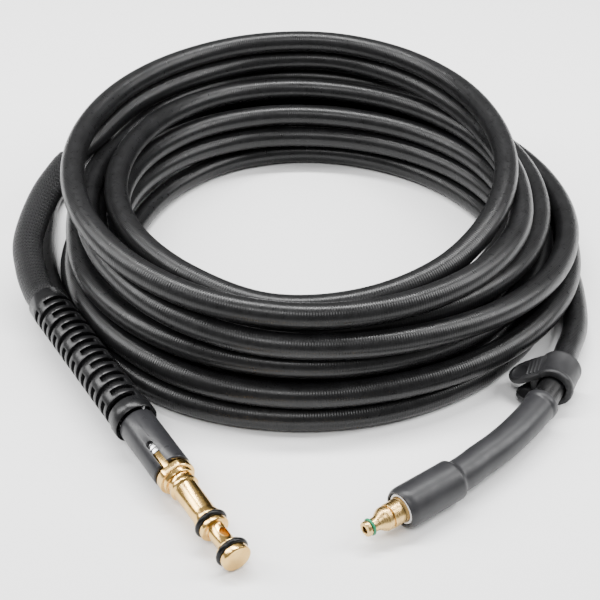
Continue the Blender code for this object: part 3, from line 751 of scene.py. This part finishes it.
def boot(material):
    """The bend protector: a tube slotted from two sides, row after row turned a quarter."""
    rows = 16
    cuff, collar, margin, width = 6.0, 5.5, 4.5, 3.2
    pitch = (BOOT_END - cuff - collar - 2 * margin) / (rows - 1)
    levels = [0.0, 0.5, cuff - 0.9, cuff]
    for row in range(rows):
        middle = cuff + margin + row * pitch
        levels += [middle - width / 2, middle + width / 2]
    levels += [BOOT_END - collar, BOOT_END - collar + 0.5, BOOT_END - 0.5, BOOT_END]
    cuff_radius, radius, collar_radius = 9.8, 10.1, 10.7
    radii = [cuff_radius - 0.4, cuff_radius, cuff_radius, radius, *[radius] * (2 * rows)]
    radii += [radius, collar_radius, collar_radius, collar_radius - 0.4]
    thing = turn("boot", list(zip(radii, levels)), 72)
    edit(thing)
    bpy.ops.mesh.select_mode(type="FACE")
    bpy.ops.mesh.select_all(action="DESELECT")
    leave()
    roll = math.radians(-43.0)
    half_slot = math.radians(75.0)
    for face in thing.data.polygons:
        height = face.center.z / MM
        row = round((height - cuff - margin) / pitch)
        inside = 0 <= row < rows and abs(height - cuff - margin - row * pitch) < 0.3
        angle = math.atan2(face.center.y, face.center.x) - roll - row % 2 * math.pi / 2
        across = abs(math.sin(angle))
        face.select = inside and across < math.sin(half_slot)
    bpy.ops.object.mode_set(mode="EDIT")
    bpy.ops.mesh.delete(type="FACE")
    leave()
    apply_modifier(thing, "SOLIDIFY", thickness=1.7 * MM, offset=-1.0, use_even_offset=True)
    soften(thing, 0.35, 2, 40.0)
    smooth(thing, 50.0)
    settle(thing, GUN_PLACE)
    return dress(thing, material, "black_plastic", "bend_protector")


def barrel(material):
    """The plastic barrel, with a round-ended slot cut in from its front."""
    radius, wall, slot_length, slot_width = 8.9, 1.3, 15.0, 3.4
    inner = radius - wall
    profile = [
        (inner, BARREL_START),
        (radius - 0.4, BARREL_START),
        (radius, BARREL_START + 0.4),
        (radius, BARREL_END - 0.5),
        (radius - 0.5, BARREL_END),
        (inner, BARREL_END),
        (inner, BARREL_START),
    ]
    thing = turn("barrel", profile, 96)
    roll = Matrix.Rotation(math.radians(28.0), 4, "Z")
    straight = slot_length - slot_width / 2
    deselect()
    bpy.ops.mesh.primitive_cylinder_add(vertices=32, radius=slot_width / 2 * MM, depth=radius * MM)
    tool = named(bpy.context.object, "slot_tool")
    settle(tool, Matrix.Rotation(math.pi / 2, 4, "Y"))
    edit(tool)
    choose_points(tool, lambda co: co.z > 0.05 * MM)
    bpy.ops.transform.translate(value=(0.0, 0.0, (straight + 2.0) * MM))
    leave()
    settle(tool, roll @ Matrix.Translation(Vector((-radius, 0.0, BARREL_END - straight)) * MM))
    cut(thing, tool)
    soften(thing, 0.25, 2, 40.0)
    smooth(thing, 40.0)
    settle(thing, GUN_PLACE)
    return dress(thing, material, "grey_plastic", "connector_barrel")


def ferrule(material):
    """The pressed steel sleeve with its ribs, seen in the barrel's slot."""
    end = BARREL_END - NIPPLE_DEPTH - FIT_GAP
    start = end - 22.0
    radius, bore, groove = 7.3, 6.55, 0.45
    profile = [(bore, start), (radius - 0.2, start), (radius, start + 0.2)]
    for rib in range(9):
        low = start + 0.9 + rib * 2.3
        profile += [(radius, low), (radius - groove, low + 0.5)]
        profile += [(radius - groove, low + 0.9), (radius, low + 1.4)]
    profile += [(radius, end - 0.3), (radius - 0.3, end), (bore, end), (bore, start)]
    thing = turn("ferrule", profile, 72)
    smooth(thing, 30.0)
    settle(thing, GUN_PLACE)
    return dress(thing, material, "crimped_steel", "crimp_ferrule")


def nipple(material):
    """The turned plug for the gun, and the places of its two sealing rings."""
    inside = BARREL_END - NIPPLE_DEPTH
    at = [BARREL_END]
    for length in NIPPLE_LENGTHS:
        at.append(at[-1] + length)
    flange, step, waist, collar, body, land, rear = at[1:8]
    disc, neck, front_land, front, end, tip = at[8:]
    profile = [
        (0.0, inside),
        (7.0, inside),
        (7.0, flange - 0.4),
        (7.0, flange),
        (8.3, flange),
        (8.6, flange + 0.4),
        (8.6, step - 0.4),
        (8.3, step),
        (7.3, step),
        (7.3, waist - 0.3),
        (7.1, waist),
        (6.2, waist),
        (6.2, collar),
        (6.6, collar),
        (6.7, collar + 0.2),
        (6.7, body - 0.3),
        (6.3, body),
        (5.6, body + 0.5),
        (5.6, land - 3.4),
        (5.75, land - 1.6),
        (6.3, land),
        (6.3, rear - 0.15),
        (6.1, rear),
        (4.7, rear),
        (4.7, disc),
        (6.3, disc),
        (6.6, disc + 0.3),
        (6.6, neck - 0.4),
        (6.2, neck),
        (4.6, neck),
        (4.2, neck + 0.5),
        (4.2, front_land - 1.6),
        (4.6, front_land - 0.9),
        (6.1, front_land),
        (6.3, front_land + 0.2),
        (6.3, front - 0.1),
        (4.7, front),
        (4.7, end),
        (6.4, end),
        (6.6, end + 0.25),
        (6.6, tip - 0.45),
        (6.15, tip),
        (0.0, tip),
    ]
    thing = turn("nipple", profile, 96)
    middle = (neck + front_land) / 2
    roll = Matrix.Rotation(math.radians(-14.0), 4, "Z")
    deselect()
    bpy.ops.mesh.primitive_cylinder_add(vertices=48, radius=2.1 * MM, depth=14.0 * MM)
    hole = named(bpy.context.object, "hole_tool")
    oval = Matrix.Diagonal((1.0, 1.0, 1.35, 1.0)) @ Matrix.Rotation(math.pi / 2, 4, "Y")
    settle(hole, Matrix.Translation((0.0, 0.0, middle * MM)) @ roll @ oval)
    cut(thing, hole)
    roll = Matrix.Rotation(math.radians(20.0), 4, "Z")
    flat_to_middle, depth = 7.6, 10.0
    for side in (-1, 1):
        place = Vector((side * (flat_to_middle + depth / 2), 0.0, (flange + step) / 2))
        cut(thing, block("flat_tool", (depth, 30.0, 4.2), roll @ Matrix.Translation(place * MM)))
    soften(thing, 0.14, 2, 34.0)
    smooth(thing, 34.0)
    settle(thing, GUN_PLACE)
    dress(thing, material, "turned_brass", "gun_nipple")
    return (rear + disc) / 2, (front + end) / 2


def ring(name, major, minor, height, place, material, slot, node):
    """A sealing ring, with the slight flat where it meets its bore."""
    profile = []
    for i in range(21):
        angle = math.pi / 2 - 2 * math.pi * i / 20
        out = min(minor * math.cos(angle), minor * 0.985)
        profile.append((major + out, height + minor * math.sin(angle)))
    thing = turn(name, profile, 72)
    thing.data.shade_smooth()
    settle(thing, place)
    return dress(thing, material, slot, node)


# Machine fitting

def machine_line(turns):
    """The hose's middle from the coil's last mark to the bend sleeve's mouth."""
    return through([turns[-1], *MACHINE_ROUTE])


def sleeve_radius(past, left):
    """The sleeve's outer radius at a distance past its start and one left to its mouth."""
    cuff = SLEEVE_CUFF_RADIUS - SLEEVE_RADIUS
    collar = SLEEVE_COLLAR_RADIUS - SLEEVE_RADIUS
    lip, shoulder = 8.2, 9.0
    if left < 1.4:
        return lip + (shoulder - lip) * left / 1.4
    if left < 4.0:
        swell = math.sin(math.pi / 2 * (left - 1.4) / 2.6)
        return shoulder + (SLEEVE_COLLAR_RADIUS - shoulder) * swell
    if left < SLEEVE_COLLAR_LENGTH:
        return SLEEVE_COLLAR_RADIUS
    if left < SLEEVE_COLLAR_LENGTH + 3.0:
        share = (left - SLEEVE_COLLAR_LENGTH) / 3.0
        return SLEEVE_RADIUS + collar * (0.5 + 0.5 * math.cos(math.pi * share))
    if past < 0.8:
        return SLEEVE_RADIUS + cuff * math.sin(math.pi / 2 * past / 0.8)
    if past < 3.0:
        return SLEEVE_CUFF_RADIUS
    if past < 4.4:
        return SLEEVE_RADIUS + cuff * (0.5 + 0.5 * math.cos(math.pi * (past - 3.0) / 1.4))
    return SLEEVE_RADIUS


def bend_sleeve(material, turns):
    """The soft sleeve: a cuff, a long thin tube, a thicker collar and a rounded lip."""
    line = machine_line(turns)
    whole = spans(line)[-1]
    points = piece_of(line, whole - SLEEVE_LENGTH, whole, 0.7)
    step = SLEEVE_LENGTH / (len(points) - 1)
    radii = [sleeve_radius(step * i, SLEEVE_LENGTH - step * i) for i in range(len(points))]
    thing = tube("bend_sleeve", framed(points), SLEEVE_RADIUS, 48, radii=radii, caps=False)
    apply_modifier(thing, "SOLIDIFY", thickness=1.05 * MM, offset=-1.0, use_even_offset=False)
    soften(thing, 0.25, 2, 50.0)
    smooth(thing, 45.0)
    return dress(thing, material, "soft_sleeve", "machine_end_sleeve")


def mouth(material):
    """The thin ring in the bend sleeve's mouth."""
    top, length, inner, outer, edge = -0.6, 4.0, 5.9, 7.0, 0.3
    profile = [
        (inner, top - length),
        (outer, top - length),
        (outer, top - edge),
        (outer - edge, top),
        (inner + edge, top),
        (inner, top - edge),
        (inner, top - length),
    ]
    thing = turn("mouth_ring_fine", profile, 72)
    smooth(thing, 40.0)
    settle(thing, MACHINE_PLACE)
    return dress(thing, material, "white_plastic", "mouth_ring")


def plug(material):
    """The turned quick plug with its bore, and the place of its sealing ring."""
    body = 6.2
    ridge = body + 1.0
    taper = ridge + 1.4
    neck = taper + 5.0
    seat = neck + 1.8
    tip = seat + 1.8
    end = tip + 2.2
    ridge_radius, neck_radius = 5.4, 3.1
    profile = [
        (PLUG_BORE_RADIUS, -PLUG_DEPTH),
        (5.6, -PLUG_DEPTH),
        (5.6, body - 0.2),
        (5.4, body),
        (4.8, body + 0.1),
        (4.8, ridge - 0.1),
        (5.2, ridge),
        (ridge_radius, ridge + 0.2),
        (ridge_radius, taper - 0.2),
    ]
    for i in range(1, 9):
        share = i / 8
        fall = 0.5 + 0.5 * math.cos(math.pi * share)
        radius = neck_radius + (ridge_radius - neck_radius) * fall
        profile.append((radius, taper + (neck - taper) * share))
    profile += [
        (neck_radius, seat),
        (2.5, seat),
        (2.5, tip),
        (3.2, tip),
        (3.4, tip + 0.2),
        (3.4, end - 0.8),
        (3.2, end - 0.3),
        (2.6, end),
        (2.0, end),
        (PLUG_BORE_RADIUS, end - 0.3),
        (PLUG_BORE_RADIUS, -PLUG_DEPTH),
    ]
    thing = turn("plug_fine", profile, 72)
    smooth(thing, 34.0)
    settle(thing, MACHINE_PLACE)
    dress(thing, material, "brushed_brass", "quick_plug")
    return thing, (seat + tip) / 2


# Tie strap

def tongue(name, root, tip, half_width, thickness, upward):
    """A flat round-ended leaf between two places in the strap's own millimetres."""
    root, tip = Vector(root), Vector(tip)
    length = (tip - root).length
    outline = [(0.0, 0.0), *((half_width * width, length * share) for share, width in LEAF_SHARES)]
    leaf = turn(name, outline, 48)
    settle(leaf, Matrix.Diagonal((0.6, 1.0, 1.0, 1.0)))
    slab = block("slab_tool", (thickness, 4 * half_width, 3 * length), Matrix.Identity(4))
    cut(leaf, slab, "INTERSECT")
    soften(leaf, 0.75, 3, 50.0)
    way = (tip - root) / length
    face = (Vector(upward) - Vector(upward).dot(way) * way).normalized()
    side = way.cross(face)
    place = Matrix((face, side, way)).transposed().to_4x4()
    place.translation = root * MM
    return leaf, place


def dent(thing, size, place):
    """Presses an ellipsoid's hollow into a leaf."""
    deselect()
    bpy.ops.mesh.primitive_uv_sphere_add(segments=32, ring_count=16, radius=1.0 * MM)
    tool = named(bpy.context.object, "dent_tool")
    settle(tool, Matrix.Translation(Vector(place) * MM) @ Matrix.Diagonal((*size, 1.0)))
    cut(thing, tool)


def rib(thing, height, slant, start, reach):
    """Adds a thin raised rib across a leaf's upper face."""
    deselect()
    bpy.ops.mesh.primitive_cylinder_add(vertices=16, radius=0.45 * MM, depth=reach * MM)
    tool = named(bpy.context.object, "rib_tool")
    lay = Matrix.Rotation(math.pi / 2, 4, "X")
    place = Matrix.Translation(Vector((start, 0.0, height)) * MM)
    settle(tool, place @ Matrix.Rotation(slant, 4, "X") @ lay)
    cut(thing, tool, "UNION")


def strap(material):
    """The tie strap: a band round the hose with a ribbed leaf and a smaller plain one."""
    outer, bore, half = 10.05, 6.85, 9.0
    profile = [
        (bore + 0.4, -half),
        (outer - 0.3, -half),
        (outer + 0.1, -half + 0.5),
        (outer + 0.1, -half + 1.5),
        (outer - 0.1, -half + 2.4),
        (outer - 0.1, half - 4.0),
        (outer, half - 3.2),
        (outer + 0.35, half - 2.4),
        (outer + 0.35, half - 0.9),
        (outer - 0.1, half - 0.2),
        (outer - 0.8, half),
        (bore + 0.4, half),
        (bore, half - 0.5),
        (bore, -half + 0.5),
        (bore + 0.4, -half),
    ]
    thing = turn("strap_band", profile, 96)
    upper, place = tongue(
        "strap_upper_leaf",
        root=(-6.6, -5.0, 0.3),
        tip=(2.4, -21.6, 6.6),
        half_width=8.2,
        thickness=2.7,
        upward=(-1.0, -0.4, 0.0),
    )
    dent(upper, (1.7, 5.4, 4.4), (1.9, 0.0, 13.6))
    for i in range(4):
        rib(upper, 3.6 + 1.9 * i, math.radians(-12.0), 1.35, 10.5)
    settle(upper, place)
    cut(thing, upper, "UNION", "MANIFOLD")
    lower, place = tongue(
        "strap_lower_leaf",
        root=(6.0, -5.6, 3.2),
        tip=(7.0, -13.8, 14.6),
        half_width=6.4,
        thickness=2.4,
        upward=(-1.0, 0.0, 0.0),
    )
    dent(lower, (1.2, 4.0, 3.6), (1.6, 0.0, 9.6))
    settle(lower, place)
    cut(thing, lower, "UNION", "MANIFOLD")
    clear = bore + 0.08
    below, above = -half - 4.0, half + 9.0
    outline = [(0.0, below), (clear, below), (clear, above), (0.0, above)]
    cut(thing, turn("strap_bore_tool", outline, 90), "DIFFERENCE", "MANIFOLD")
    soften(thing, 0.2, 2, 40.0)
    smooth(thing, 45.0)
    settle(thing, STRAP_PLACE)
    return dress(thing, material, "strap_rubber", "tie_strap")


# Floor and lights

def floor_and_lights():
    deselect()
    bpy.ops.mesh.primitive_plane_add(size=6.0, location=(0.0, 0.0, -0.0003))
    floor = named(bpy.context.object, "floor")
    bpy.ops.object.transform_apply(location=True, rotation=True, scale=True)
    f = Finish("floor_white", (0.93, 0.93, 0.93), 0.85)
    f.shader.inputs["Specular IOR Level"].default_value = 0.1
    floor.data.materials.append(f.material)
    world = bpy.data.worlds.new("studio")
    bpy.context.scene.world = world
    world.use_nodes = True
    back = world.node_tree.nodes["Background"]
    back.inputs["Color"].default_value = (1.0, 1.0, 1.0, 1.0)
    back.inputs["Strength"].default_value = 0.34
    area("top_light", (0.0, 0.35, 1.15), (0.0, 0.05, 0.0), 1.2, 0.12, 30.0)
    area("left_light", (-1.0, 0.1, 0.85), (0.0, 0.0, 0.0), 0.35, 0.9, 18.0)
    area("right_light", (1.0, 0.0, 0.85), (0.0, 0.0, 0.0), 0.35, 0.9, 18.0)
    area("front_light", (-0.25, -0.9, 1.4), (0.0, 0.0, 0.0), 0.8, 0.4, 14.0)


def area(name, place, aim, width, height, power):
    """A soft light of a width and height in metres, aimed at a place."""
    data = bpy.data.lights.new(name, "AREA")
    data.shape = "RECTANGLE"
    data.size = width
    data.size_y = height
    data.energy = power
    thing = bpy.data.objects.new(name, data)
    bpy.context.scene.collection.objects.link(thing)
    thing.location = place
    thing.rotation_euler = (Vector(aim) - Vector(place)).to_track_quat("-Z", "Y").to_euler()


def build():
    camera()
    turns = coil_marks()
    hose_piece, path, length = hose(turns)
    braid()
    black = moulded(
        "black_plastic_satin",
        colour=(0.005, 0.005, 0.0055),
        lighter=(0.009, 0.009, 0.0095),
        low=0.24,
        high=0.36,
    )
    grey = moulded(
        "grey_plastic_satin",
        colour=(0.014, 0.014, 0.0155),
        lighter=(0.020, 0.020, 0.022),
        low=0.26,
        high=0.38,
        grain=0.01,
    )
    soft = moulded(
        "soft_sleeve_satin",
        colour=(0.017, 0.017, 0.0185),
        lighter=(0.023, 0.023, 0.025),
        low=0.34,
        high=0.46,
    )
    seal = moulded(
        "ring_rubber_satin",
        colour=(0.003, 0.003, 0.003),
        lighter=(0.005, 0.005, 0.005),
        low=0.22,
        high=0.34,
        specular=0.2,
    )
    green = moulded(
        "green_rubber_satin",
        colour=(0.010, 0.16, 0.075),
        lighter=(0.015, 0.22, 0.10),
        low=0.3,
        high=0.45,
    )
    white = moulded(
        "white_plastic_gloss",
        colour=(0.78, 0.78, 0.77),
        lighter=(0.84, 0.84, 0.83),
        low=0.2,
        high=0.35,
        grain=0.005,
    )
    strap_skin = moulded(
        "strap_rubber_matte",
        colour=(0.012, 0.012, 0.013),
        lighter=(0.020, 0.020, 0.021),
        low=0.36,
        high=0.5,
    )
    gun_way = GUN_PLACE.to_3x3() @ Vector((0.0, 0.0, 1.0))
    machine_way = MACHINE_PLACE.to_3x3() @ Vector((0.0, 0.0, 1.0))
    brass = turned_metal(
        "turned_brass_bright",
        colour=(0.80, 0.54, 0.19),
        deeper=(0.66, 0.40, 0.12),
        low=0.12,
        high=0.26,
        direction=gun_way,
    )
    brushed = turned_metal(
        "brushed_brass_plug",
        colour=(0.72, 0.50, 0.20),
        deeper=(0.56, 0.36, 0.13),
        low=0.2,
        high=0.38,
        direction=machine_way,
        scale=7000.0,
        depth=0.03,
    )
    steel = turned_metal(
        "crimped_steel_bright",
        colour=(0.72, 0.72, 0.72),
        deeper=(0.6, 0.6, 0.6),
        low=0.2,
        high=0.35,
        direction=gun_way,
    )
    boot(black)
    barrel(grey)
    ferrule(steel)
    rear, front = nipple(brass)
    ring("nipple_ring_rear_fine", 6.3, 1.3, rear, GUN_PLACE, seal, "ring_rubber", "nipple_ring_rear")
    ring("nipple_ring_front_fine", 6.3, 1.3, front, GUN_PLACE, seal, "ring_rubber", "nipple_ring_front")
    sleeve_piece = bend_sleeve(soft, turns)
    mouth_piece = mouth(white)
    plug_piece, seat = plug(brushed)
    green_piece = ring("plug_ring_fine", 3.35, 0.6, seat, MACHINE_PLACE, green, "green_rubber", "plug_ring")
    strap_piece = strap(strap_skin)
    floor_and_lights()


build()
